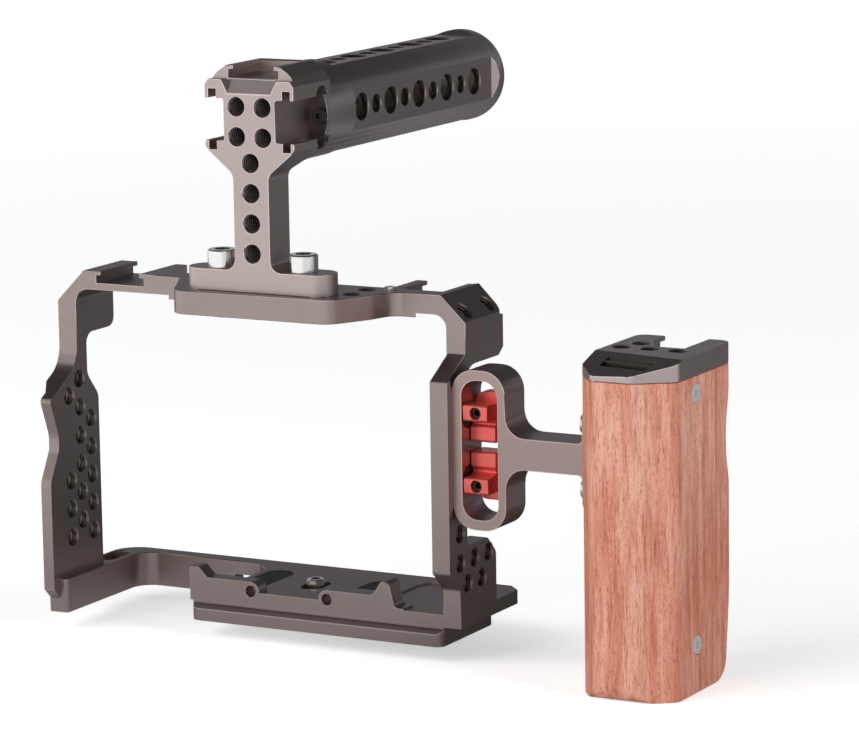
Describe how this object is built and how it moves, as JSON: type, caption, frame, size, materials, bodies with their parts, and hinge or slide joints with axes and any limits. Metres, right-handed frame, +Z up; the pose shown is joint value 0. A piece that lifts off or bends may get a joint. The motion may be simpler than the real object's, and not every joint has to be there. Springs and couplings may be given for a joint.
{
  "type": "camera cage",
  "caption": "Machined cage round a mirrorless camera, with threaded holes, cold shoes, a tubular top handle, a loop with red cable clamps and a wooden side grip.",
  "frame": {"origin": "on the camera screw's axis, on the centre line of the quick-release foot, at the foot's underside", "axes": "+X towards the side grip, +Y to the back of the camera, where the user stands, +Z up"},
  "size_m": [0.2449, 0.1614, 0.1999],
  "materials": {
    "bronze_anodised": "satin bronze anodised aluminium",
    "dark_bronze_anodised": "dark bronze anodised aluminium",
    "red_anodised": "bright red anodised aluminium",
    "screw_steel": "bright plated steel",
    "screw_black": "black oxide steel",
    "pad_rubber": "matt black rubber",
    "grip_wood": "oiled red hardwood with upright grain",
    "core_aluminium": "plain machined aluminium"
  },
  "bodies": {
    "cage": {"cage_frame": "bronze_anodised", "base_pads": "pad_rubber", "deck_stop_screw": "screw_steel", "handle_upright": "bronze_anodised", "handle_grip": "dark_bronze_anodised", "handle_joint_screws": "screw_black", "side_bracket": "dark_bronze_anodised", "side_bracket_screws": "screw_black", "grip_wood": "grip_wood", "grip_core": "core_aluminium", "grip_cap": "dark_bronze_anodised", "grip_cap_screws": "screw_black", "grip_side_screws": "screw_steel", "grip_arm_screws": "screw_steel"},
    "screw_carrier": {"camera_screw_clip": "screw_black"},
    "camera_screw_body": {"camera_screw": "screw_steel"},
    "handle_screw_left_body": {"handle_screw_left": "screw_steel"},
    "handle_screw_right_body": {"handle_screw_right": "screw_steel"},
    "clamp_upper_body": {"cable_clamp_upper": "red_anodised"},
    "clamp_lower_body": {"cable_clamp_lower": "red_anodised"},
    "clamp_screw_upper_body": {"clamp_screw_upper": "screw_black"},
    "clamp_screw_lower_body": {"clamp_screw_lower": "screw_black"}
  },
  "joints": [
    {"name": "camera_screw_slide", "type": "slide", "parent": "cage", "child": "screw_carrier", "axis": [0, 1, 0], "range_m": [-0.0025, 0.0025]},
    {"name": "camera_screw_turn", "type": "hinge", "parent": "screw_carrier", "child": "camera_screw_body", "pos_m": [0, 0, 0], "axis": [0, 0, 1], "continuous": true},
    {"name": "handle_screw_left_turn", "type": "hinge", "parent": "cage", "child": "handle_screw_left_body", "pos_m": [-0.0177, -0.02725, 0.125], "axis": [0, 0, 1], "continuous": true},
    {"name": "handle_screw_right_turn", "type": "hinge", "parent": "cage", "child": "handle_screw_right_body", "pos_m": [0.0135, -0.02725, 0.125], "axis": [0, 0, 1], "continuous": true},
    {"name": "clamp_upper_slide", "type": "slide", "parent": "cage", "child": "clamp_upper_body", "axis": [0, 0, 1], "range_m": [-0.0013, 0.003]},
    {"name": "clamp_lower_slide", "type": "slide", "parent": "cage", "child": "clamp_lower_body", "axis": [0, 0, -1], "range_m": [-0.0013, 0.003]},
    {"name": "clamp_screw_upper_turn", "type": "hinge", "parent": "clamp_upper_body", "child": "clamp_screw_upper_body", "pos_m": [0.0747, -0.02, 0.0815], "axis": [0, 1, 0], "continuous": true},
    {"name": "clamp_screw_lower_turn", "type": "hinge", "parent": "clamp_lower_body", "child": "clamp_screw_lower_body", "pos_m": [0.0747, -0.02, 0.0571], "axis": [0, 1, 0], "continuous": true}
  ]
}
